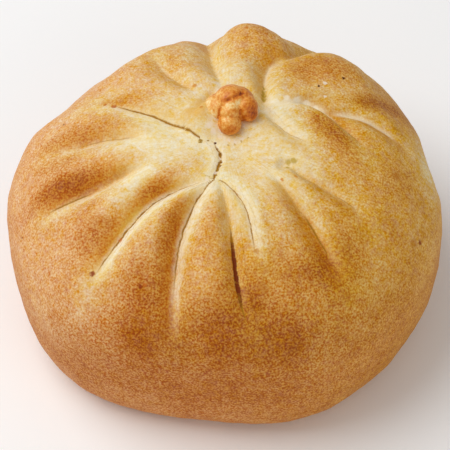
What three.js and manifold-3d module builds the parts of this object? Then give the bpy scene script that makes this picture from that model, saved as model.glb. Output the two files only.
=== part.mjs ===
// A pleated meat pie: one round of bread dough drawn up over its filling, pinched into uneven
// pleats round the crown and closed with a small knob of dough. It is uncut, so it is solid.
// Millimetres, +Z up. The origin is the centre of the flat underside, and -Y is the front.
import * as THREE from "three";
import { mergeVertices } from "three/addons/utils/BufferGeometryUtils.js";
import Module from "manifold-3d";

const wasm = await Module();
wasm.setup();

// ---- Driving dimensions ----
const WIDTH = 115; // mean diameter at the widest level
const HEIGHT = 62; // dome before its crown is pressed in
const BELLY_HEIGHT = 28; // level of the widest outline
const FOOT_SHARE = 0.8; // radius of the flat underside over the widest radius
const DOME_POWER = 2.25; // superellipse exponent above the belly: 2 is an ellipse, more is boxier
const FOOT_POWER = 2.6; // and below it
const CROWN_LEAN = [-0.4, 1]; // the crown is a little off the centre of the underside
const CREASE_ROUND = 0.9; // half-width over which the bottom of a pleat is rounded
const HUB = { at: [0, -4], reach: 24, depth: 3 }; // hollow left where the dough was gathered
const FADE = { in: 0.3, out: 0.55 }; // shares of a pleat's length over which it deepens and fades
const OPENING = { least: 0.4, over: 24 }; // pleats start this narrow and widen over this length
const SWAY_GAIN = 2.6; // makes the stated sway the furthest that a pleat strays from its bow
const KNOB_SEAT = 0.35; // clearance between the knob and the seat pressed for it
const COLUMNS = 129; // facets round the pie
const RINGS = 33; // rings of facets from the crown to the edge of the underside
const RING_CROWDING = 0.5; // 1 spaces the rings evenly, less crowds them towards the crown

// The outline is uneven: each wave has a count round the pie, a share of the radius and the
// azimuth of one of its crests, in degrees.
const OUTLINE_WAVES = [
  { count: 2, share: 0.03, crest: 20 },
  { count: 3, share: 0.025, crest: -45 },
  { count: 5, share: 0.01, crest: 15 },
  { count: 6, share: 0.01, crest: 45 },
];

// ---- Pleats ----
// Pleats are laid out on a flat map of the dome, whose distance from the centre is the angle
// down from the crown in degrees. Near the crown one degree is almost exactly 1 mm of dough.
// Each runs outward from its start to its end, bows to its left at mid length, and may sway
// left then right. The dough falls into the crease over the left width on one side and the
// right width on the other: the narrow side is the lip that overlaps it.
const PLEATS = [
  { start: [-2, -12], end: [8, -65], bow: -1, sway: 1, depth: 3.6, left: 8, right: 5 },
  { start: [-2, -12], end: [9, -40], bow: 2.5, sway: 1, depth: 2.0, left: 4, right: 4 },
  { start: [10, -10], end: [36, -46], bow: 0.5, sway: 0.5, depth: 2.6, left: 5, right: 9 },
  { start: [12, -5], end: [40, -26], bow: 1, sway: -1, depth: 2.4, left: 9, right: 5 },
  { start: [8, 9], end: [21, -2], bow: -1, sway: 0, depth: 1.8, left: 6, right: 6 },
  { start: [12, 10], end: [39, -2], bow: 6, sway: 1.5, depth: 2.6, left: 9, right: 5 },
  { start: [24, 11], end: [60, 4], bow: 3.5, sway: 0.5, depth: 2.2, left: 6, right: 9 },
  { start: [8, 7], end: [24, 38], bow: 6, sway: -1.5, depth: 3.4, left: 9, right: 6 },
  { start: [16, 32], end: [36, 68], bow: 0, sway: 0, depth: 3.0, left: 12, right: 12 },
  { start: [-1, 15], end: [-9, 90], bow: 1, sway: 0, depth: 5.5, left: 10, right: 10 },
  { start: [-8, 15], end: [-24, 42], bow: 1, sway: -0.5, depth: 2.2, left: 9, right: 6 },
  { start: [-2, 15], end: [-9, 2], bow: -0.5, sway: 0, depth: 1.3, left: 3, right: 7 },
  { start: [-5, 0], end: [-38, 18], bow: -1, sway: 0, depth: 2.0, left: 9, right: 5 },
  { start: [-17, 0], end: [-54, 2], bow: -2, sway: -0.5, depth: 2.8, left: 9, right: 6 },
  { start: [-18, -8], end: [-55, -19], bow: -0.5, sway: -0.5, depth: 3.6, left: 10, right: 6 },
  { start: [-3, -12], end: [-41, -43], bow: -4.5, sway: -1.5, depth: 4.4, left: 7, right: 11 },
  { start: [-3, -12], end: [-20, -72], bow: -4, sway: -1, depth: 4.4, left: 9, right: 8 },
];

// Where the filling pushes the dough out between the pleats, or leaves it slack: a place on the
// map, the height of the bulge, or depth where negative, and how far it reaches.
const BULGES = [
  { azimuth: 82, down: 45, height: 4.0, reach: 15 },
  { azimuth: 45, down: 45, height: 2.5, reach: 18 },
  { azimuth: 15, down: 45, height: 1.0, reach: 14 },
  { azimuth: 115, down: 45, height: 1.5, reach: 12 },
  { azimuth: 130, down: 45, height: 2.5, reach: 16 },
  { azimuth: 150, down: 65, height: -1.5, reach: 16 },
  { azimuth: 10, down: 80, height: -1.5, reach: 16 },
  { azimuth: 190, down: 50, height: 1.5, reach: 18 },
  { azimuth: 265, down: 50, height: 1.0, reach: 14 },
  { azimuth: 130, down: 8, height: 3.5, reach: 8 },
];

// ---- Knob ----
// The knob is a pinch of dough squeezed into lobes that meet in sharp creases. Each lobe is a
// ball placed from the middle of the knob.
const KNOB = { at: [0.4, 8.4, 61.8], facets: [26, 16] };
const KNOB_LOBES = [
  { from: [2.0, 2.6, 0.1], radius: 4.9 },
  { from: [0.5, 2.6, 1.0], radius: 4.7 },
  { from: [4.3, 0.9, 1.2], radius: 3.2 },
  { from: [5.0, -0.2, 0.2], radius: 2.5 },
  { from: [0.1, -3.5, -0.5], radius: 3.1 },
  { from: [0.2, -1.6, 1.6], radius: 2.7 },
  { from: [-2.6, 1.8, -0.8], radius: 4.2 },
];

const radians = THREE.MathUtils.degToRad;
const clamp = THREE.MathUtils.clamp;
const smooth = (share) => THREE.MathUtils.smoothstep(share, 0, 1);

// ---- Dome ----
function outlineRadius(azimuth) {
  const waves = OUTLINE_WAVES.map((w) => w.share * Math.cos(w.count * (azimuth - radians(w.crest))));
  return (WIDTH / 2) * (1 + waves.reduce((sum, wave) => sum + wave, 0));
}

// The plain dome: down is the angle from the crown, 90 degrees at the belly and 180 at the foot.
function domePoint(azimuth, down) {
  const sine = Math.sin(radians(down));
  const cosine = Math.abs(Math.cos(radians(down)));
  const above = down <= 90;
  const power = 2 / (above ? DOME_POWER : FOOT_POWER);
  const inward = above ? 0 : FOOT_SHARE;
  const share = inward + (1 - inward) * sine ** power;
  const rise = above ? HEIGHT - BELLY_HEIGHT : -BELLY_HEIGHT;
  const height = BELLY_HEIGHT + rise * cosine ** power;
  const lean = above ? 1 - share ** 2 : 0;
  const radius = outlineRadius(azimuth) * share;
  return new THREE.Vector3(
    radius * Math.cos(azimuth) + CROWN_LEAN[0] * lean,
    radius * Math.sin(azimuth) + CROWN_LEAN[1] * lean,
    height,
  );
}

// The direction in which the dough is raised or pressed in: straight up at the crown, straight
// out at the belly and below it.
function domeOutward(azimuth, down) {
  const tilt = radians(Math.min(down, 90));
  const level = Math.sin(tilt);
  return new THREE.Vector3(level * Math.cos(azimuth), level * Math.sin(azimuth), Math.cos(tilt));
}

// ---- Relief ----
function pleatDepth(pleat, x, y) {
  const run = new THREE.Vector2(pleat.end[0] - pleat.start[0], pleat.end[1] - pleat.start[1]);
  const length = run.length();
  run.divideScalar(length);
  const offset = new THREE.Vector2(x - pleat.start[0], y - pleat.start[1]);
  const share = offset.dot(run) / length;
  if (share <= -FADE.in / 3 || share >= 1) return 0;
  const way = Math.max(share, 0);
  const sway = pleat.sway * SWAY_GAIN * (1 - 2 * way);
  const across = run.cross(offset) - 4 * way * (1 - way) * (pleat.bow + sway);
  const opening = OPENING.least + (1 - OPENING.least) * smooth((way * length) / OPENING.over);
  const width = (across > 0 ? pleat.left : pleat.right) * opening;
  const fade = smooth(share / FADE.in + 1 / 3) * smooth((1 - share) / FADE.out);
  return pleat.depth * fade * clamp(1 - Math.hypot(across, CREASE_ROUND) / width, 0, 1) ** 2;
}

// Millimetres by which the dough stands out from the plain dome.
function relief(azimuth, down) {
  const x = down * Math.cos(azimuth);
  const y = down * Math.sin(azimuth);
  const hollow = HUB.depth * smooth(1 - Math.hypot(x - HUB.at[0], y - HUB.at[1]) / HUB.reach);
  const creases = PLEATS.reduce((sum, pleat) => sum + pleatDepth(pleat, x, y), 0);
  const bulges = BULGES.reduce((sum, bulge) => {
    const centre = radians(bulge.azimuth);
    const away = Math.hypot(x - bulge.down * Math.cos(centre), y - bulge.down * Math.sin(centre));
    return sum + bulge.height * smooth(1 - away / bulge.reach);
  }, 0);
  return bulges - creases - hollow;
}

// ---- Meshes ----
function closedGeometry(positions, indices) {
  const geometry = new THREE.BufferGeometry();
  geometry.setAttribute("position", new THREE.Float32BufferAttribute(positions, 3));
  geometry.setIndex(indices);
  return geometry;
}

// The crust is a stack of rings, with a single point at the crown and one in the underside.
function crustGeometry() {
  const positions = [];
  const heights = [];
  for (let ring = 0; ring <= RINGS; ring++) {
    const share = ring / RINGS;
    const down = 180 * (RING_CROWDING * share + (1 - RING_CROWDING) * share ** 3);
    for (let column = 0; column < (ring === 0 ? 1 : COLUMNS); column++) {
      const azimuth = (2 * Math.PI * column) / COLUMNS;
      const height = relief(azimuth, down);
      heights.push(height);
      positions.push(...domePoint(azimuth, down).addScaledVector(domeOutward(azimuth, down), height));
    }
  }
  positions.push(0, 0, 0);
  const underside = positions.length / 3 - 1;
  const ringStart = (ring) => 1 + (ring - 1) * COLUMNS;
  const indices = [];
  for (let column = 0; column < COLUMNS; column++) {
    const next = (column + 1) % COLUMNS;
    indices.push(0, ringStart(1) + column, ringStart(1) + next);
    for (let ring = 1; ring < RINGS; ring++) {
      const [a, b] = [ringStart(ring) + column, ringStart(ring + 1) + column];
      const [c, d] = [ringStart(ring + 1) + next, ringStart(ring) + next];
      // Each facet is split along its deeper diagonal, so that the creases run unbroken.
      const deepAC = heights[a] + heights[c] < heights[b] + heights[d];
      indices.push(...(deepAC ? [a, b, c, a, c, d] : [a, b, d, b, c, d]));
    }
    indices.push(ringStart(RINGS) + column, underside, ringStart(RINGS) + next);
  }
  return closedGeometry(positions, indices);
}

// In every direction from its middle the knob reaches as far as the lobe that stands out most.
function knobGeometry(clearance) {
  const geometry = new THREE.SphereGeometry(1, ...KNOB.facets).rotateX(Math.PI / 2);
  const position = geometry.getAttribute("position");
  const direction = new THREE.Vector3();
  for (let i = 0; i < position.count; i++) {
    direction.fromBufferAttribute(position, i).normalize();
    const reaches = KNOB_LOBES.map((lobe) => {
      const centre = new THREE.Vector3(...lobe.from);
      const ahead = centre.dot(direction);
      return ahead + Math.sqrt(Math.max(ahead ** 2 - centre.lengthSq() + lobe.radius ** 2, 0));
    });
    const point = direction.clone().multiplyScalar(Math.max(...reaches) + clearance);
    point.add(new THREE.Vector3(...KNOB.at));
    position.setXYZ(i, point.x, point.y, point.z);
  }
  return geometry;
}

// ---- Seat for the knob, cut with a slightly larger copy of it ----
function toSolid(geometry) {
  const bare = geometry.clone();
  bare.deleteAttribute("normal");
  bare.deleteAttribute("uv");
  const merged = mergeVertices(bare, 1e-3);
  return new wasm.Manifold(
    new wasm.Mesh({
      numProp: 3,
      vertProperties: merged.attributes.position.array,
      triVerts: new Uint32Array(merged.index.array),
    }),
  );
}

function toGeometry(solid) {
  const mesh = solid.getMesh();
  const geometry = closedGeometry(Array.from(mesh.vertProperties), Array.from(mesh.triVerts));
  geometry.computeVertexNormals();
  return geometry;
}

const crust = new THREE.Mesh(
  toGeometry(toSolid(crustGeometry()).subtract(toSolid(knobGeometry(KNOB_SEAT)))),
  new THREE.MeshStandardMaterial({ color: 0xc98f52, roughness: 0.62, metalness: 0 }),
);
crust.name = "crust";

const knob = new THREE.Mesh(
  knobGeometry(0),
  new THREE.MeshStandardMaterial({ color: 0xc4742c, roughness: 0.5, metalness: 0 }),
);
knob.name = "knob";

const pie = new THREE.Group();
pie.add(crust, knob);

export default pie;
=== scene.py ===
"""A pleated meat pie of browned bread dough, closed at the crown with a small knob of dough."""
import math

import bpy
import numpy as np
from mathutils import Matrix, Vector


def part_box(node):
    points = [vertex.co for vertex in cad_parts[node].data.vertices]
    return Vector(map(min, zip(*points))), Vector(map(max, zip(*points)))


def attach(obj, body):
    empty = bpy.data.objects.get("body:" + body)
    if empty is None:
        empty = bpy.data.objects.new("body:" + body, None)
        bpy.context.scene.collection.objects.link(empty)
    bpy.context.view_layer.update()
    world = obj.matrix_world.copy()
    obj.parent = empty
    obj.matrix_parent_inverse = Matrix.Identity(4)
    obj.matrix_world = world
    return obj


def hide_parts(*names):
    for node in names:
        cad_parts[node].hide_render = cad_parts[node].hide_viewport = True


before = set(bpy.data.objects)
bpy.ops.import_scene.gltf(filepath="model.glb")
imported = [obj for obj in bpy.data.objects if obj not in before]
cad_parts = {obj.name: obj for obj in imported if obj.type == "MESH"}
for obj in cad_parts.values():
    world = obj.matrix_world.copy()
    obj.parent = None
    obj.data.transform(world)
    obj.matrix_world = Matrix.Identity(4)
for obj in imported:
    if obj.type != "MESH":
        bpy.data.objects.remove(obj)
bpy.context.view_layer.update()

# ------------------------------------------------------------------------------------------
# Crust, in millimetres. One round of yeasted bread dough, drawn up over the filling by hand and
# pinched into uneven pleats round the crown. It proved and baked on a flat tray, so its sides
# swelled and its underside is flat.
# ------------------------------------------------------------------------------------------
MM = 0.001
crust_low, crust_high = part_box("crust")

RADIUS_SHARE = 0.4889  # mean radius over the width from side to side
MEAN_RADIUS = RADIUS_SHARE * (crust_high.x - crust_low.x) / MM
HEIGHT = 62  # dome before its crown is pressed in
BELLY_HEIGHT = 28  # level of the widest outline
FOOT_SHARE = 0.8  # radius of the flat underside over the widest radius
DOME_POWER = 2.25  # superellipse exponent above the belly: 2 is an ellipse, more is boxier
FOOT_POWER = 2.6  # and below it
CROWN_LEAN = (-0.4, 1.0)  # the crown is a little off the centre of the underside
CREASE_ROUND = 0.25  # half width over which the bottom of a pleat is rounded
PLEAT_START_WIDTH = 0.3  # share of its width that a pleat starts with
SWAY_GAIN = 2.6  # makes the stated sway the furthest that a pleat strays from its bow
HUB = dict(at=(0, -4), reach=24, depth=3.0)  # hollow left where the dough was gathered
OUTLINE_WAVES = [  # count round the pie, share of the radius, azimuth of a crest in degrees
    (2, 0.03, 20),
    (3, 0.025, -45),
    (5, 0.01, 15),
    (6, 0.01, 45),
]

# Pleats lie on a flat map of the dome, whose distance from the centre is the angle down from
# the crown in degrees, which near the crown is about 1 mm of dough. Each runs outward from its
# start to its end, bows to its left at mid length, and may sway left then right. The dough falls
# into it over a width left and right. Its crease may gape: slit holds the two shares of its
# length between which it does, which may lie past its ends, and half the gap in millimetres, or
# a pale welt where that is negative; the dark inside the gap is painted shade. Crinkled is how
# rough its lips are. Gold is how much painted shade, a deep yellow, lies in the fold on its left,
# or on its right where that is negative, and bare is how pale the other side is. The last two are
# the seam at the hub and a short crease with no pleat of its own.
PLEAT_COLUMNS = "start end bow sway depth left right slit crinkled bare gold".split()
PLEATS = [
    dict(zip(PLEAT_COLUMNS, row))
    for row in [
        ((-2, -12), (8, -65), -1, 1, 3.6, 8, 5, (0.24, 0.94, 0.4), 0.05, 0.2, -0.4),
        ((-2, -12), (9, -40), 2.5, 1, 2.0, 4, 4, (-0.3, 1.0, 0.12), 0.6, 0.4, -0.3),
        ((10, -10), (36, -46), 0.5, 0.5, 2.6, 5, 9, (0.3, 0.75, 0.15), 0.1, 0.3, -0.8),
        ((12, -5), (40, -26), 1, -1, 2.4, 9, 5, (0.5, 0.8, 0.07), 0.1, 0.2, -0.4),
        ((8, 9), (21, -2), -1, 0, 1.8, 6, 6, (0.1, 0.95, 0.06), 0.5, 0.2, -0.4),
        ((12, 10), (39, -2), 6, 1.5, 2.6, 9, 5, (-0.2, 0.6, -0.6), 0.0, 0.3, 0.5),
        ((24, 11), (60, 4), 3.5, 0.5, 2.2, 6, 9, (0.0, 0.8, -0.3), 0.0, 0.2, -0.6),
        ((8, 7), (24, 38), 6, -1.5, 3.4, 9, 6, (0.2, 0.8, -0.15), 0.0, 0.3, 0.7),
        ((16, 32), (36, 68), 0, 0, 3.0, 12, 12, (0.0, 0.9, 0.0), 0.0, 0.0, 0.0),
        ((-1, 15), (-9, 90), 1, 0, 5.5, 10, 10, (0.15, 0.5, 0.0), 0.0, 0.4, 0.2),
        ((-8, 15), (-24, 42), 1, -0.5, 2.2, 9, 6, (0.3, 0.8, -0.1), 0.0, 0.1, 0.3),
        ((-2, 15), (-9, 2), -0.5, 0, 1.3, 3, 7, (0.0, 0.9, 0.0), 0.0, 0.0, 0.0),
        ((-5, 0), (-38, 18), -1, 0, 2.0, 9, 5, (-0.3, 0.9, 0.16), 0.3, 0.4, -0.4),
        ((-17, 0), (-54, 2), -2, -0.5, 2.8, 9, 6, (0.0, 0.8, 0.07), 0.3, 0.3, -0.5),
        ((-18, -8), (-55, -19), -0.5, -0.5, 3.6, 10, 6, (0.4, 0.95, 0.1), 0.3, 0.5, -0.9),
        ((-3, -12), (-41, -43), -4.5, -1.5, 4.4, 7, 11, (-0.05, 0.98, 0.2), 1.0, 1.0, -1.0),
        ((-3, -12), (-20, -72), -4, -1, 4.4, 9, 8, (-0.3, 0.8, 0.14), 0.7, 0.5, -0.9),
        ((-3, 0), (-3, -12), 1.6, 0.5, 1.0, 3, 3, (-0.1, 1.3, 0.22), 0.6, 0.3, 0.1),
        ((27, 9), (36, 0), 1, 0, 0.6, 3, 3, (0.0, 1.0, 0.08), 0.1, 0.0, 0.1),
    ]
]
# Where the filling pushes the dough out between the pleats, or leaves it slack: azimuth, degrees
# down from the crown, height, and reach. The last is a small pit beside the hub.
BULGES = [
    (82, 45, 4.0, 15),
    (45, 45, 2.5, 18),
    (15, 45, 1.0, 14),
    (115, 45, 1.5, 12),
    (130, 45, 2.5, 16),
    (150, 65, -1.5, 16),
    (10, 80, -1.5, 16),
    (190, 50, 1.5, 18),
    (265, 50, 1.0, 14),
    (130, 8, 3.5, 8),
    (-30, 15, -1.0, 2.5),
]


def rise(value, start, end):
    """Rises smoothly from 0 at the start to 1 at the end, and is level beyond them."""
    share = np.clip((value - start) / (end - start), 0, 1)
    return share * share * (3 - 2 * share)


def dome(azimuth, down):
    """Points of the plain dome: down is 0 at the crown, 90 at the belly and 180 at the foot."""
    radius = np.full_like(azimuth, MEAN_RADIUS)
    for count, share, crest in OUTLINE_WAVES:
        radius += MEAN_RADIUS * share * np.cos(count * (azimuth - math.radians(crest)))
    sine = np.clip(np.sin(np.radians(down)), 0, 1)
    cosine = np.abs(np.cos(np.radians(down)))
    above = down <= 90
    power = 2 / np.where(above, DOME_POWER, FOOT_POWER)
    inward = np.where(above, 0, FOOT_SHARE)
    share = np.where(down < 180, inward + (1 - inward) * sine**power, 0)
    height = BELLY_HEIGHT + np.where(above, HEIGHT - BELLY_HEIGHT, -BELLY_HEIGHT) * cosine**power
    lean = np.where(above, 1 - share**2, 0)
    x = radius * share * np.cos(azimuth) + CROWN_LEAN[0] * lean
    y = radius * share * np.sin(azimuth) + CROWN_LEAN[1] * lean
    return np.stack([x, y, height], 1)


def along_pleat(pleat, x, y):
    """Distance out along a pleat, as a share and as a length, and the signed distance across it."""
    run = np.subtract(pleat["end"], pleat["start"])
    length = np.hypot(*run)
    run = run / length
    dx, dy = x - pleat["start"][0], y - pleat["start"][1]
    share = (dx * run[0] + dy * run[1]) / length
    way = np.clip(share, 0, 1)
    sway = SWAY_GAIN * pleat["sway"] * (1 - 2 * way)
    across = dy * run[0] - dx * run[1] - 4 * way * (1 - way) * (pleat["bow"] + sway)
    return share, way * length, across


def crease_depth(pleat, x, y):
    """Share of its depth that a pleat has: it widens as it runs out, and fades at both ends."""
    share, out, across = along_pleat(pleat, x, y)
    opening = PLEAT_START_WIDTH + (1 - PLEAT_START_WIDTH) * rise(out, -2, 22)
    width = np.where(across > 0, pleat["left"], pleat["right"]) * opening
    fade = rise(share, -0.045, 0.255) * rise(share, 1, 0.45)
    return fade * np.clip(1 - np.hypot(across, CREASE_ROUND) / width, 0, 1) ** 2


def relief(x, y):
    """How far the dough stands out from the plain dome."""
    height = -HUB["depth"] * rise(np.hypot(x - HUB["at"][0], y - HUB["at"][1]), HUB["reach"], 0)
    for pleat in PLEATS:
        height -= pleat["depth"] * crease_depth(pleat, x, y)
    for azimuth, down, tall, reach in BULGES:
        centre = math.radians(azimuth)
        away = np.hypot(x - down * math.cos(centre), y - down * math.sin(centre))
        height += tall * rise(away, reach, 0)
    return height


COLUMNS = 512
RINGS = 190  # with the bottom pole, which becomes the middle of the underside
RING_CROWDING = 0.45  # 1 spaces the rings evenly, less crowds them towards the crown
UNDERSIDE_EDGE = 179.9  # degrees down of the lowest ring, round the underside
bpy.ops.object.select_all(action="DESELECT")
bpy.ops.mesh.primitive_uv_sphere_add(segments=COLUMNS, ring_count=RINGS, radius=1)
crust = bpy.context.object
crust.name = crust.data.name = "baked_crust"
ball = np.empty(len(crust.data.vertices) * 3, np.float32)
crust.data.vertices.foreach_get("co", ball)
ball = ball.reshape(-1, 3).astype(float)
azimuth = np.arctan2(ball[:, 1], ball[:, 0])
ring_share = np.arccos(np.clip(ball[:, 2], -1, 1)) / math.pi * RINGS / (RINGS - 1)
down = 180 * (RING_CROWDING * ring_share + (1 - RING_CROWDING) * ring_share**3)
bottom_pole = ring_share > 1 + 0.5 / RINGS
down = np.where(bottom_pole, 180, np.minimum(down, UNDERSIDE_EDGE))
map_x, map_y = down * np.cos(azimuth), down * np.sin(azimuth)
# The dough is raised straight up at the crown, and straight out at the belly and below it.
tilt = np.radians(np.minimum(down, 90))
outward = np.stack([np.sin(tilt) * np.cos(azimuth), np.sin(tilt) * np.sin(azimuth), np.cos(tilt)], 1)
surface = dome(azimuth, down) + outward * relief(map_x, map_y)[:, None]
crust.data.vertices.foreach_set("co", (surface * MM).astype(np.float32).ravel())
crust.data.update()

# Where the oven browned the crust, with painted shade: the share of full brown by the angle down
# from the crown, which grows towards the bottom partly as painted shade of the low sides, and
# patches that add to it: place on the map, half length, half width, direction in degrees, amount.
BROWN_AND_SHADE_BY_ANGLE = (
    [0, 14, 22, 32, 45, 60, 80, 100, 140, 180],
    [0.1, 0.12, 0.24, 0.34, 0.4, 0.42, 0.52, 0.66, 0.66, 0.7],
)
BROWN_AND_SHADE_PATCHES = [
    ((-43, -10.5), 14, 3.4, 13, 0.54),
    ((-46, -3), 9, 4, 0, 0.14),
    ((-42, 6), 16, 4, 0, 0.2),
    ((-26, 16), 7, 3, 0, 0.1),
    ((-17, -14), 7, 2.2, 43, 0.5),
    ((-34, -25), 12, 4.5, 42, 0.32),
    ((-14, -26), 10, 2.4, 72, 0.34),
    ((-24, -47), 11, 5, 75, 0.28),
    ((-30, -64), 12, 7, 75, 0.3),
    ((-4, -25), 8, 2.6, 90, 0.14),
    ((-3, -60), 12, 6, 90, 0.26),
    ((6, -51), 8, 4, -75, 0.34),
    ((24, -40), 9, 6, 0, 0.24),
    ((34, -31), 8, 4, -60, 0.14),
    ((20, -66), 12, 8, -60, 0.26),
    # painted shade, partly baked colour: the whole low front darker
    ((0, -76), 52, 30, 0, 0.26),
    ((26, 4), 9, 5, -50, 0.42),
    ((50, -6), 8, 6, 0, 0.1),
    ((42, 20), 12, 3, 25, 0.42),
    ((28, 28), 9, 6, 20, 0.2),
    ((19, 24), 6, 4, 80, 0.2),
    ((9, 38), 12, 8, 90, 0.14),
    ((-14, 31), 7, 3, -60, 0.1),
    ((60, 28), 10, 8, 0, 0.2),
    ((-20, -2), 13, 6, 0, -0.14),
    ((-25, -22), 8, 2.8, 40, -0.1),
    ((-42, -45), 9, 4, 55, -0.18),
    ((-11, -31), 9, 2, 78, -0.1),
    ((68, 5), 9, 14, 0, -0.26),
    ((-74, -42), 14, 26, 0, -0.1),
    ((-32, 20), 10, 6, 30, -0.12),
    ((-6, 6), 6, 4, 60, 0.12),
    ((22, -44), 26, 20, 0, 0.1),
    ((38, -10), 20, 14, 0, 0.07),
    ((0, -30), 8, 2, 88, -0.12),
    ((-22, -22), 6, 2, 45, -0.2),
    # painted light: low on the right, paler where the floor throws light up
    ((38, -80), 20, 14, -60, -0.08),
    ((-7, -49), 8, 4, 85, -0.2),
    ((2, -47), 7, 3, 85, -0.2),
    ((-2, -74), 10, 6, 0, 0.12),
    ((-8, -7), 5, 3, 20, 0.12),
    ((4, -24), 9, 2, -75, -0.12),
    ((-6, 40), 30, 12, 0, -0.06),
    ((-27, -17), 8, 3, 35, -0.22),
    ((-16, -26), 6, 3, 70, -0.06),
    ((-33, 16.5), 5, 1.2, -15, 0.2),
    ((-20, -11), 5, 3, 40, -0.12),
]
# Along the bare side of each pleat a band of dough is paler. Distances are degrees of the map.
BARE_MIDDLE = -1.1
BARE_REACH = 2.2
BARE_PALER = 0.42
GOLD_AT_CROWN = 0.4
GOLD_SPREAD = 130  # to the right, over which gold grows from none to whole
# Painted shade in the pleats: the skin turns golden there, for the yellow glow of light thrown between the
# folds.
PAINTED_GLOW_IN_PLEATS = 0.45
PLEAT_GLOW_REACH = 6  # to each side of a pleat
GOLD_LOST_AT_FOOT = 0.3


def browning_and_shade(x, y):
    """How fully the crust is baked dark, made darker still low on the front as painted shade, and lighter low
    on the right as painted light thrown up from the floor.
    """
    share = np.interp(np.hypot(x, y), *BROWN_AND_SHADE_BY_ANGLE)
    for (at_x, at_y), half_length, half_width, direction, amount in BROWN_AND_SHADE_PATCHES:
        turn = math.radians(direction)
        u = ((x - at_x) * math.cos(turn) + (y - at_y) * math.sin(turn)) / half_length
        v = ((y - at_y) * math.cos(turn) - (x - at_x) * math.sin(turn)) / half_width
        share = share + amount * np.exp(-(u**2) - v**2)
    for pleat in PLEATS:
        way, _, across = along_pleat(pleat, x, y)
        side = across * np.sign(pleat["gold"])
        band = np.exp(-(((side - BARE_MIDDLE) / BARE_REACH) ** 2))
        band *= rise(way, -0.1, 0.1) * rise(way, 1.1, 0.7)
        share = share - BARE_PALER * pleat["bare"] * band
    return np.clip(share, 0, 1)


def goldness(x, y):
    """How golden rather than rosy the skin is: most to the right and least low down, and yellower in the
    pleats as painted shade, for the glow of light thrown between them.
    """
    pleat_glow = np.zeros_like(x)
    for pleat in PLEATS:
        way, _, across = along_pleat(pleat, x, y)
        near = np.exp(-((across / PLEAT_GLOW_REACH) ** 2)) * rise(way, 0, 0.3) * rise(way, 1.3, 0.9)
        pleat_glow = np.maximum(pleat_glow, near)
    low = rise(np.hypot(x, y), 60, 100)
    gold = GOLD_AT_CROWN + x / GOLD_SPREAD + PAINTED_GLOW_IN_PLEATS * pleat_glow - GOLD_LOST_AT_FOOT * low
    return np.clip(gold, 0, 1)


def painted_fold_shade(x, y):
    """Painted shade beside each pleat: a saturated yellow where the dough lies under a fold, out of the light
    and lit only by light thrown back from the dough.
    """
    share = np.zeros_like(x)
    for pleat in PLEATS:
        way, _, across = along_pleat(pleat, x, y)
        side = across * np.sign(pleat["gold"])
        beside = rise(side, -1.2, 0.4) * rise(side, 6.5, 1)
        along = rise(way, -0.05, 0.2) * rise(way, 1.05, 0.7)
        share = np.maximum(share, abs(pleat["gold"]) * beside * along)
    return share


MM_PER_DEGREE = 0.9  # dough to a degree of the map, over most of the length of the pleats
CREASE_REACH = 3.0  # distance from a crease past which it leaves the dough alone


def creases(x, y):
    """Near each point: half width of the slit, crinkle of its lips, distance across it, and pale welt."""
    gape, lips, welt = np.zeros_like(x), np.zeros_like(x), np.zeros_like(x)
    across_slit = np.full_like(x, 3 * CREASE_REACH)
    nearest = np.full_like(x, CREASE_REACH)
    for pleat in PLEATS:
        first, last, half_width = pleat["slit"]
        way, _, across = along_pleat(pleat, x, y)
        across = across * MM_PER_DEGREE
        part = (way - first) / (last - first)
        opened = half_width * rise(part, 0, 0.35) * rise(part, 1, 0.65)
        if half_width < 0:
            on_welt = rise(np.abs(across) + opened, 0.9, -0.3) * rise(-opened, 0, 0.2)
            welt = np.maximum(welt, on_welt)
            continue
        here = (np.abs(across) < nearest) & (way > 0) & (way < 1)
        gape = np.where(here, opened, gape)
        side = across * np.sign(pleat["gold"])
        # The crinkled lips lie mostly on the bare side.
        band = rise(side, -2.2, -1.4) * rise(side, 1.2, 0.2) * rise(way, -0.03, 0.07) * rise(way, 1, 0.6)
        lips = np.maximum(lips, pleat["crinkled"] * band)
        across_slit = np.where(here, side, across_slit)
        nearest = np.where(here, np.abs(across), nearest)
    return gape, lips, across_slit, welt


def add_attribute(mesh, name, values):
    made = mesh.attributes.new(name, "FLOAT", "POINT")
    made.data.foreach_set("value", values.astype(np.float32))


gape, lips, across_slit, welt = creases(map_x, map_y)
add_attribute(crust.data, "browning_and_shade", browning_and_shade(map_x, map_y))
add_attribute(crust.data, "goldness", goldness(map_x, map_y))
add_attribute(crust.data, "painted_fold_shade", painted_fold_shade(map_x, map_y))
add_attribute(crust.data, "gape", gape)
add_attribute(crust.data, "across_slit", across_slit)
add_attribute(crust.data, "lips", lips)
add_attribute(crust.data, "welt", welt)

# Places for the strands of dough, which run down the slope: wide apart round the pie, and long.
STRANDS_ROUND = 30
STRANDS_DOWN = 0.14  # to a degree
strands = crust.data.attributes.new("strands", "FLOAT_VECTOR", "POINT")
fan = np.stack([np.cos(azimuth) * STRANDS_ROUND, np.sin(azimuth) * STRANDS_ROUND, down * STRANDS_DOWN], 1)
strands.data.foreach_set("vector", fan.astype(np.float32).ravel())

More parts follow.
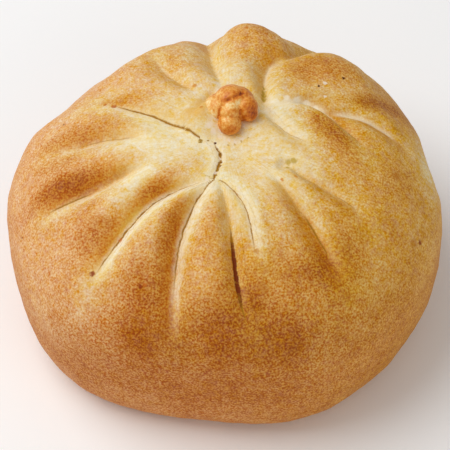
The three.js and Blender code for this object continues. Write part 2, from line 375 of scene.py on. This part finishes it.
# The risen dough is slightly uneven all over, except where it lies on the tray.
GROUP_LEVELS = 10
free = crust.vertex_groups.new(name="free_dough")
lifted = rise(surface[:, 2], 0.5, 5.5)
for level in range(GROUP_LEVELS + 1):
    here = np.flatnonzero(np.round(lifted * GROUP_LEVELS) == level)
    free.add(here.tolist(), level / GROUP_LEVELS, "REPLACE")
bpy.context.view_layer.objects.active = crust
for name, size, strength in (("swells", 13, 0.9), ("ripples", 4.5, 0.3)):
    clouds = bpy.data.textures.new(name, "CLOUDS")
    clouds.noise_scale = size * MM
    uneven = crust.modifiers.new(name, "DISPLACE")
    uneven.texture = clouds
    uneven.texture_coords = "LOCAL"
    uneven.strength = strength * MM
    uneven.mid_level = 0.5
    uneven.vertex_group = free.name
    bpy.ops.object.modifier_apply(modifier=uneven.name)
bpy.ops.object.shade_smooth()


def linear(colour):
    """A hex sRGB colour as linear RGBA."""
    parts = [int(colour[i : i + 2], 16) / 255 for i in (1, 3, 5)]
    return [p / 12.92 if p <= 0.04045 else ((p + 0.055) / 1.055) ** 2.4 for p in parts] + [1]


def add_node(kind, inputs=None, out=0, **settings):
    """Adds a node to the tree, sets it up, fills its inputs with values or sockets, and gives an output."""
    made = tree.nodes.new(kind)
    for name, value in settings.items():
        setattr(made, name, value)
    for name, value in (inputs or {}).items():
        if isinstance(value, bpy.types.NodeSocket):
            tree.links.new(value, made.inputs[name])
        else:
            made.inputs[name].default_value = value
    return made.outputs[out]


# The finish is enriched bread dough, baked. Its skin is matte with a soft sheen, pale gold where
# it was folded away from the heat, and speckled brown in grains of about half a millimetre where
# the heat reached it.
dough = bpy.data.materials.new("baked_bread_dough")
dough.use_nodes = True
tree = dough.node_tree
shader = tree.nodes["Principled BSDF"]
place = add_node("ShaderNodeTexCoord", out="Object")
brown_and_shade, golden, shade_in_fold, gape_here, lips_here, across_here, welt_here = (
    add_node("ShaderNodeAttribute", out="Fac", attribute_name=name)
    for name in ("browning_and_shade", "goldness", "painted_fold_shade", "gape", "lips", "across_slit", "welt")
)
strand_place = add_node("ShaderNodeAttribute", out="Vector", attribute_name="strands")

# Grains of half a millimetre, mottles of 3 mm, clouds of 12 mm, and strands of dough pulled to
# the crown. A scale is the number of cells to a metre, and of strands to a unit of their places.
grain = add_node("ShaderNodeTexNoise", {"Vector": place, "Scale": 1900, "Detail": 1, "Roughness": 0.5})
mottle = add_node("ShaderNodeTexNoise", {"Vector": place, "Scale": 330, "Detail": 3, "Roughness": 0.6})
cloudy = add_node("ShaderNodeTexNoise", {"Vector": place, "Scale": 80, "Detail": 2, "Roughness": 0.5})
strand = add_node("ShaderNodeTexNoise", {"Vector": strand_place, "Scale": 1.6, "Detail": 3, "Roughness": 0.6})

# A map range holds its value, the two values that this comes from, and the two that it goes to.
# Where the dough is pale, the patterns are calmer.
calm = add_node("ShaderNodeMapRange", {0: brown_and_shade, 1: 0.1, 2: 0.35, 3: 0.45, 4: 1.0})
toast_and_shade = brown_and_shade
for noise, swing in ((grain, 0.2), (mottle, 0.42), (cloudy, 0.3)):
    offset = add_node("ShaderNodeMath", {0: noise, 1: swing, 2: -swing / 2}, operation="MULTIPLY_ADD")
    toast_and_shade = add_node("ShaderNodeMath", {0: offset, 1: calm, 2: toast_and_shade}, operation="MULTIPLY_ADD")

# Each grain is browned deeper and more orange at its middle than at its rim. Where the dough is
# pale, the strands show instead. The brown turns from rosy on one side to golden on the other.
grain_swing = add_node("ShaderNodeMapRange", {0: brown_and_shade, 1: 0.1, 2: 0.75, 3: 0.7, 4: 3.3})
strand_swing = add_node("ShaderNodeMapRange", {0: brown_and_shade, 1: 0.1, 2: 0.4, 3: 1.4, 4: 0.3})
grain_part = add_node("ShaderNodeMath", {0: grain, 1: 0.5}, operation="SUBTRACT")
strand_part = add_node("ShaderNodeMath", {0: strand, 1: 0.5}, operation="SUBTRACT")
fleck = add_node("ShaderNodeMath", {0: grain_part, 1: grain_swing, 2: 0.5}, operation="MULTIPLY_ADD")
fleck = add_node("ShaderNodeMath", {0: strand_part, 1: strand_swing, 2: fleck}, operation="MULTIPLY_ADD")
ROSY_RIM = ["#fcf0ce", "#f2dfb6", "#ebc796", "#deab6c", "#d08e42", "#c0741c"]
ROSY_MIDDLE = ["#efd294", "#e6b264", "#d98a32", "#c6680e", "#b05406", "#9a4204"]
GOLDEN_RIM = ["#f8ecca", "#eedcaa", "#e4bc60", "#d6a238", "#c4862c", "#ae6e1e"]
GOLDEN_MIDDLE = ["#ead488", "#e0b250", "#d28c16", "#ba6c0a", "#a25408", "#8a3e04"]
tones = []
for colours in (ROSY_RIM, ROSY_MIDDLE, GOLDEN_RIM, GOLDEN_MIDDLE):
    tone = add_node("ShaderNodeValToRGB", {"Fac": toast_and_shade})
    ramp = tone.node.color_ramp
    last = len(colours) - 1
    for step in range(1, last):
        ramp.elements.new(step / last)
    for step, element in enumerate(ramp.elements):
        element.position = step / last
        element.color = linear(colours[step])
    tones.append(tone)
rosy = add_node("ShaderNodeMix", {0: fleck, 6: tones[0], 7: tones[1]}, out=2, data_type="RGBA")
gilt = add_node("ShaderNodeMix", {0: fleck, 6: tones[2], 7: tones[3]}, out=2, data_type="RGBA")
skin = add_node("ShaderNodeMix", {0: golden, 6: rosy, 7: gilt}, out=2, data_type="RGBA")

# The same dough turns from creamy to yellow and back over half a millimetre to 2 mm, most where
# it is pale. Yellow has most of the blue and some of the green taken away.
TO_CREAMY = (0.02, 0.42, 1.0)
DARKEST = (0.003, 0.003, 0.003)
tint = add_node("ShaderNodeTexNoise", {"Vector": place, "Scale": 620, "Detail": 3, "Roughness": 0.7})
tint_reach = add_node("ShaderNodeMapRange", {0: brown_and_shade, 1: 0.1, 2: 0.55, 3: 1.1, 4: 0.14})
tint = add_node("ShaderNodeMath", {0: tint, 1: 0.5}, operation="SUBTRACT")
tint = add_node("ShaderNodeMath", {0: tint, 1: tint_reach}, operation="MULTIPLY")
skin = add_node("ShaderNodeVectorMath", {0: TO_CREAMY, 1: tint, 2: skin}, operation="MULTIPLY_ADD")
skin = add_node("ShaderNodeVectorMath", {0: skin, 1: DARKEST}, operation="MAXIMUM")
# Painted shade beside the folds: the skin multiplied by a deep yellow, where the dough lies in shade lit only
# by light thrown back from the dough.
skin = add_node(
    "ShaderNodeMix",
    {0: shade_in_fold, 6: skin, 7: linear("#ecca6c")},
    out=2,
    data_type="RGBA",
    blend_type="MULTIPLY",
)

# The creases wander and break over 2 mm. A slit is painted dark within its half width, as painted
# shade in its gap, darker and redder where it gapes wider; its lips are crinkled, dull and scuffed,
# with finer cracks about a millimetre to the bare side of it.
wander = add_node("ShaderNodeTexNoise", {"Vector": place, "Scale": 420, "Detail": 3, "Roughness": 0.6})
loose = add_node("ShaderNodeMapRange", {0: lips_here, 1: 0.2, 2: 0.9, 3: 0.3, 4: 1.0})
wander = add_node("ShaderNodeMath", {0: wander, 1: 0.5}, operation="SUBTRACT")
across_here = add_node("ShaderNodeMath", {0: wander, 1: loose, 2: across_here}, operation="MULTIPLY_ADD")
off_slit = add_node("ShaderNodeMath", {0: across_here}, operation="ABSOLUTE")
broken = add_node("ShaderNodeTexNoise", {"Vector": place, "Scale": 450, "Detail": 3, "Roughness": 0.7})
ragged = add_node("ShaderNodeMapRange", {0: lips_here, 1: 0.1, 2: 0.8, 3: 0.9, 4: 0.3})
breaks = add_node("ShaderNodeMapRange", {0: broken, 1: 0.4, 2: 0.62, 3: ragged, 4: 1.4})
gape_now = add_node("ShaderNodeMath", {0: gape_here, 1: breaks}, operation="MULTIPLY")
inside = add_node("ShaderNodeMath", {0: gape_now, 1: off_slit}, operation="SUBTRACT")
open_slit = add_node("ShaderNodeMapRange", {0: inside, 1: -0.16, 2: 0.1})
is_slit = add_node("ShaderNodeMapRange", {0: gape_here, 1: 0.01, 2: 0.1})
open_slit = add_node("ShaderNodeMath", {0: open_slit, 1: is_slit}, operation="MULTIPLY")
deep_slit = add_node("ShaderNodeMapRange", {0: gape_now, 1: 0.28, 2: 0.45})
# painted shade inside a slit: golden brown where it is narrow, dark red-brown where it gapes wide
slit_shade_tone = add_node(
    "ShaderNodeMix", {0: deep_slit, 6: linear("#a4700e"), 7: linear("#76300a")}, out=2, data_type="RGBA"
)
pale_lip = add_node("ShaderNodeMapRange", {0: broken, 1: 0.35, 2: 0.6, 3: 0.15, 4: 0.8})
pale_lip = add_node("ShaderNodeMath", {0: pale_lip, 1: lips_here}, operation="MULTIPLY", use_clamp=True)
crack = add_node("ShaderNodeMath", {0: wander, 1: 1.6, 2: across_here}, operation="MULTIPLY_ADD")
crack = add_node("ShaderNodeMath", {0: crack, 1: 1.0}, operation="ADD")
crack = add_node("ShaderNodeMath", {0: crack}, operation="ABSOLUTE")
crack = add_node("ShaderNodeMapRange", {0: crack, 1: 0.16, 2: 0.04, 4: 0.35})
crack = add_node("ShaderNodeMath", {0: crack, 1: lips_here}, operation="MULTIPLY", use_clamp=True)
welt_cover = add_node("ShaderNodeMath", {0: welt_here, 1: 0.65}, operation="MULTIPLY")
for amount, colour in (
    (pale_lip, linear("#f6e9d0")),
    (crack, linear("#b88c30")),
    (welt_cover, linear("#faeed0")),
    (open_slit, slit_shade_tone),
):
    skin = add_node("ShaderNodeMix", {0: amount, 6: skin, 7: colour}, out=2, data_type="RGBA")

# Single marks, in the order in which they lie over each other: colour, how fully it covers the
# skin, and the place on the map and radius in millimetres of each.
MARKS = [
    # golden flank beside the knob
    ("#e4b258", 0.7, [((-5, 9), 3.4), ((-6, 6), 2.4), ((-3, 12), 2.4), ((-8, 6.5), 1.8)]),
    # flour and crumbs along the seam and under the knob
    ("#f2e0c8", 0.8, [((-3.5, 2.5), 1.0), ((-2.5, 1.5), 0.8), ((-1.2, 0.6), 0.7), ((0.6, 0), 0.6)]),
    ("#f2e0c8", 0.8, [((1.8, -0.6), 0.6), ((3, 0.2), 0.6), ((-1.4, -4.6), 0.5), ((-2.2, -6.4), 0.5)]),
    ("#f2e0c8", 0.8, [((-0.6, -2.2), 0.5), ((-2.6, -9.6), 0.6), ((-4.6, -12), 0.6), ((3, -15), 0.6)]),
    # burnt specks
    ("#5c2c12", 1.0, [((31, 24), 0.5), ((23, 19), 0.35), ((-46, 13), 0.3), ((-2.2, -0.8), 0.3)]),
    # blisters that caught the heat
    ("#8c3208", 0.9, [((-38, -39), 0.7), ((63, -25), 0.8), ((-25, -45), 0.6), ((-67, -21), 0.35)]),
    # painted shade in the pits of the seam
    ("#8e5c08", 1.0, [((-1.8, -2), 0.35), ((-1.2, -3.4), 0.45), ((-1.2, -6), 0.5), ((-1.4, -7), 0.4)]),
    ("#a07614", 0.9, [((-2, -9), 0.4), ((-5, -0.4), 0.5), ((-2.4, -10.8), 0.35), ((-3.6, -0.4), 0.3)]),
    # painted shade in a row of shallow pits to the right of the seam
    ("#c0963c", 0.7, [((0.4, -1.4), 0.35), ((1.6, -1), 0.4), ((2.8, -0.4), 0.35), ((4.2, 0.4), 0.3)]),
    # small blisters, golden to brown
    ("#d0801c", 0.8, [((-8, 17.5), 0.6), ((-5.5, 6.5), 0.5), ((13, -12), 0.5), ((16, -11), 0.5)]),
    ("#b85a18", 0.8, [((-30, 14), 0.7), ((-33, 15.5), 0.4), ((22, 7.5), 0.4)]),
    ("#c4661e", 0.7, [((5, 42.5), 0.5), ((5, 27), 0.35), ((-28.5, -28.5), 0.6), ((-23.5, -45), 0.5)]),
    # painted shadows, olive: the knob's shadow beside its right, and the shade in a pit where a pleat starts
    ("#b0901c", 0.8, [((8.8, 14.5), 0.9), ((8.6, 13), 0.9), ((9, 16.5), 0.8), ((9.2, 18.5), 0.6)]),
    ("#bc9a24", 0.8, [((14.4, -6.6), 0.9), ((15.4, -6.4), 0.9), ((14.2, -7.8), 0.6)]),
    # pale welts of drawn dough
    ("#fbf0d8", 0.6, [((14, 12), 0.9), ((17, 12.8), 1.0), ((20, 13), 1.0), ((23, 12.6), 0.9)]),
    # broad browner spots
    ("#b8701e", 0.5, [((10, -47), 1.6), ((8, -35), 0.7), ((47, -6), 1.6), ((59, -26), 1.4)]),
    # scuffs
    ("#f4e8d4", 0.8, [((25, 20.5), 0.7), ((25, 16), 0.5)]),
]
MARK_WOBBLE = 1.1 * MM  # how far their edges wander
MARK_FADE = (1.25, 0.6)  # shares of the radius at which a mark begins and is whole
baked = np.empty(len(crust.data.vertices) * 3, np.float32)
crust.data.vertices.foreach_get("co", baked)
baked = baked.reshape(-1, 3)
uneven_place = add_node("ShaderNodeTexNoise", {"Vector": place, "Scale": 1100, "Detail": 1}, out="Color")
uneven_place = add_node(
    "ShaderNodeVectorMath", {0: uneven_place, 1: (MARK_WOBBLE,) * 3, 2: place}, operation="MULTIPLY_ADD"
)
for colour, cover, marks in MARKS:
    marked = 0.0
    for (at_x, at_y), radius in marks:
        nearest = np.argmin(np.hypot(map_x - at_x, map_y - at_y))
        middle = baked[nearest] + MARK_WOBBLE / 2
        away = add_node(
            "ShaderNodeVectorMath", {0: uneven_place, 1: middle}, out="Value", operation="DISTANCE"
        )
        edge, whole = (radius * share * MM for share in MARK_FADE)
        mark = add_node("ShaderNodeMapRange", {0: away, 1: edge, 2: whole, 4: cover})
        marked = add_node("ShaderNodeMath", {0: marked, 1: mark}, operation="MAXIMUM")
    skin = add_node("ShaderNodeMix", {0: marked, 6: skin, 7: linear(colour)}, out=2, data_type="RGBA")
tree.links.new(skin, shader.inputs["Base Color"])
shader.inputs["Roughness"].default_value = 0.55
shader.inputs["Specular IOR Level"].default_value = 0.12

# The relief that is too fine for the mesh: grains and strands stand up, and cracks lie low.
grain_rise = add_node("ShaderNodeMapRange", {0: brown_and_shade, 1: 0.1, 2: 0.5, 3: 0.15, 4: 0.5})
height = add_node("ShaderNodeMath", {0: grain, 1: grain_rise}, operation="MULTIPLY")
for part, lift in (
    (mottle, 0.7),
    (strand, 0.25),
    (pale_lip, 0.5),
    (crack, -0.8),
    (welt_cover, 0.3),
    (open_slit, -0.5),
):
    height = add_node("ShaderNodeMath", {0: part, 1: lift, 2: height}, operation="MULTIPLY_ADD")
bump = add_node("ShaderNodeBump", {"Strength": 0.5, "Distance": 0.35 * MM, "Height": height})
tree.links.new(bump, shader.inputs["Normal"])
crust.data.materials.append(dough)
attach(crust, "root")
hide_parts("crust")

# ------------------------------------------------------------------------------------------
# Knob, in millimetres from its own middle: the twist of dough left where the pleats meet,
# squeezed into lobes between finger and thumb and pressed back onto the crown. Standing highest
# in the oven, it browned the most.
# ------------------------------------------------------------------------------------------
KNOB_AT = (0.4, 8.4, 61.8)  # its middle, from the middle of the underside of the crust
KNOB_LOBES = [  # place, radius
    ((2.0, 2.6, 0.1), 4.9),
    ((0.5, 2.6, 1.0), 4.7),
    ((4.3, 0.9, 1.2), 3.2),
    ((5.0, -0.2, 0.2), 2.5),
    ((0.1, -3.5, -0.5), 3.1),
    ((0.2, -1.6, 1.6), 2.7),
    ((-2.6, 1.8, -0.8), 4.2),
]
KNOB_FOLDS = [  # one end, the other end, half width, depth
    ((-1.0, -0.1, 4.5), (0.9, 0.2, 5.0), 0.8, 0.5),
    ((0.9, 0.2, 5.0), (4.0, 3.1, 4.6), 0.8, 0.5),
    ((-2.1, -0.8, 3.0), (-3.0, -2.4, -0.8), 0.6, 0.55),
    ((3.0, -1.6, 2.8), (2.4, -2.9, 1.0), 0.8, 0.45),
]
KNOB_BROWN = 0.45  # share of full brown before what follows is added
# Painted shade in the knob's folds, with browner dough: how much darker a fold is painted
KNOB_FOLD_BROWN_AND_SHADE = 0.6  # to a millimetre of a fold's depth
KNOB_BROWNING = [  # place, reach, how much browner
    ((0.9, 3.6, 5.6), 3.0, 0.02),
    ((-0.2, 2.2, 5.5), 1.1, 0.2),
    ((4.6, 5.0, 3.4), 1.8, 0.2),
    ((-0.2, -0.9, 4.1), 1.3, -0.46),
    ((2.2, -0.6, 4.2), 1.1, -0.26),
    ((2.8, -2.4, 2.0), 1.0, -0.4),
    ((5.6, -1.6, 1.8), 1.8, 0.55),
    ((-0.9, 0.2, 4.8), 0.9, 0.3),
    ((6.0, 0.2, 3.4), 1.2, 0.1),
    ((-0.1, -4.2, 3.0), 1.2, -0.1),
    ((0.3, -6.2, 0.4), 1.8, 0.16),
    ((-5.4, 0.2, 1.2), 3.2, -0.36),
    ((3.0, -1.6, 2.8), 0.2, 0.3),
]
bpy.ops.object.select_all(action="DESELECT")
lobes = []
for offset, radius in KNOB_LOBES:
    centre = [(a + b) * MM for a, b in zip(KNOB_AT, offset)]
    bpy.ops.mesh.primitive_uv_sphere_add(segments=48, ring_count=24, radius=radius * MM, location=centre)
    lobes.append(bpy.context.object)
for lobe in lobes:
    lobe.select_set(True)
bpy.context.view_layer.objects.active = lobes[0]
bpy.ops.object.join()
knob = bpy.context.object
knob.name = knob.data.name = "baked_knob"
bpy.ops.object.transform_apply(location=True, rotation=True, scale=True)
remesh = knob.modifiers.new("one_skin", "REMESH")
remesh.mode = "VOXEL"
remesh.voxel_size = 0.16 * MM
bpy.ops.object.modifier_apply(modifier=remesh.name)
relax = knob.modifiers.new("soften", "SMOOTH")
relax.iterations = 5
bpy.ops.object.modifier_apply(modifier=relax.name)

points = np.empty(len(knob.data.vertices) * 3, np.float32)
knob.data.vertices.foreach_get("co", points)
normals = np.empty_like(points)
knob.data.vertices.foreach_get("normal", normals)
points = points.reshape(-1, 3) / MM - KNOB_AT
normals = normals.reshape(-1, 3)
knob_brown_and_shade = np.full(len(points), KNOB_BROWN)
for spot, reach, amount in KNOB_BROWNING:
    knob_brown_and_shade += amount * np.exp(-((np.linalg.norm(points - spot, axis=1) / reach) ** 2))
pressed = np.zeros(len(points))
for start, end, half_width, depth in KNOB_FOLDS:
    run = np.subtract(end, start)
    way = np.clip((points - start) @ run / (run @ run), 0, 1)
    away = np.linalg.norm(points - start - way[:, None] * run, axis=1)
    tapered = depth * rise(way, -0.12, 0.28) * rise(way, 1.12, 0.72)
    pressed = np.maximum(pressed, tapered * rise(away, half_width, 0))
    # The folds are painted darker: browner dough and painted shade in their hollows.
    knob_brown_and_shade += KNOB_FOLD_BROWN_AND_SHADE * tapered * np.exp(-((away / half_width) ** 2))
surface = points - normals * pressed[:, None] + KNOB_AT
knob.data.vertices.foreach_set("co", (surface * MM).astype(np.float32).ravel())
knob.data.update()
add_attribute(knob.data, "browning_and_shade", knob_brown_and_shade)
bpy.ops.object.shade_smooth()

# Deeply browned dough: fine pale blisters of two thirds of a millimetre and blotches of 2.4 mm on
# orange-brown skin, with a little more sheen than the crust.
crumb = bpy.data.materials.new("well_browned_dough")
crumb.use_nodes = True
tree = crumb.node_tree
shader = tree.nodes["Principled BSDF"]
place = add_node("ShaderNodeTexCoord", out="Object")
brown_and_shade = add_node("ShaderNodeAttribute", out="Fac", attribute_name="browning_and_shade")
blisters = add_node("ShaderNodeTexNoise", {"Vector": place, "Scale": 1500, "Detail": 2, "Roughness": 0.6})
blotches = add_node("ShaderNodeTexNoise", {"Vector": place, "Scale": 420, "Detail": 2, "Roughness": 0.5})
tone = brown_and_shade
for noise, swing in ((blisters, -0.9), (blotches, 0.8)):
    offset = add_node("ShaderNodeMath", {0: noise, 1: swing, 2: -swing / 2}, operation="MULTIPLY_ADD")
    tone = add_node("ShaderNodeMath", {0: tone, 1: offset}, operation="ADD")
KNOB_TONES = ["#fae0a6", "#f6c474", "#eaa044", "#d87c1e", "#bc5c0a", "#8a380a"]
skin = add_node("ShaderNodeValToRGB", {"Fac": tone})
ramp = skin.node.color_ramp
last = len(KNOB_TONES) - 1
for step in range(1, last):
    ramp.elements.new(step / last)
for step, element in enumerate(ramp.elements):
    element.position = step / last
    element.color = linear(KNOB_TONES[step])
tree.links.new(skin, shader.inputs["Base Color"])
shader.inputs["Roughness"].default_value = 0.36
shader.inputs["Specular IOR Level"].default_value = 0.35
bump = add_node("ShaderNodeBump", {"Strength": 0.5, "Distance": 0.25 * MM, "Height": blisters})
tree.links.new(bump, shader.inputs["Normal"])
knob.data.materials.append(crumb)
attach(knob, "root")
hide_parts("knob")

# ------------------------------------------------------------------------------------------
# Stage: a pale matte floor, a broad light high on the left, a weaker one low on the right of the
# front, even light from all round, and a long lens that looks down on the front of the pie.
# ------------------------------------------------------------------------------------------
bpy.ops.object.select_all(action="DESELECT")
bpy.ops.mesh.primitive_plane_add(size=6)
floor = bpy.context.object
floor.name = "floor"
paint = bpy.data.materials.new("pale_floor")
paint.use_nodes = True
paint.node_tree.nodes["Principled BSDF"].inputs["Base Color"].default_value = linear("#ffffff")
paint.node_tree.nodes["Principled BSDF"].inputs["Roughness"].default_value = 0.8
floor.data.materials.append(paint)

LIGHTS_AIM = Vector((0, 0, 0.03))
for name, place, size, power, colour in (
    ("key", (-0.5, 0.1, 0.8), 0.9, 6.2, "#ffffff"),
    ("fill", (0.5, -0.7, 0.4), 0.8, 1.4, "#fff6ea"),
):
    light = bpy.data.lights.new(name, "AREA")
    light.shape = "DISK"
    light.size = size
    light.energy = power
    light.color = linear(colour)[:3]
    lamp = bpy.data.objects.new(name, light)
    bpy.context.scene.collection.objects.link(lamp)
    lamp.location = place
    lamp.rotation_euler = (LIGHTS_AIM - Vector(place)).to_track_quat("-Z", "Y").to_euler()

world = bpy.data.worlds.new("studio")
world.use_nodes = True
world.node_tree.nodes["Background"].inputs["Color"].default_value = (1, 1, 1, 1)
world.node_tree.nodes["Background"].inputs["Strength"].default_value = 0.38
bpy.context.scene.world = world
bpy.context.scene.view_settings.view_transform = "Standard"

# The camera aims at a point on the pie's axis, moved to the left and up across the view.
ELEVATION = math.radians(52)
DISTANCE = 0.6
AIM_HEIGHT = 20 * MM
AIM_LEFT = 0.74 * MM
AIM_UP = 2.74 * MM
aim = np.array([-AIM_LEFT, AIM_UP * math.sin(ELEVATION), AIM_HEIGHT + AIM_UP * math.cos(ELEVATION)])
back = np.array([0, -math.cos(ELEVATION), math.sin(ELEVATION)])
camera_data = bpy.data.cameras.new("camera")
camera_data.sensor_width = 36
camera_data.lens = 174.6
camera_data.clip_start = 0.05
camera = bpy.data.objects.new("camera", camera_data)
bpy.context.scene.collection.objects.link(camera)
camera.location = aim + back * DISTANCE
camera.rotation_euler = (math.pi / 2 - ELEVATION, 0, 0)
bpy.context.scene.camera = camera
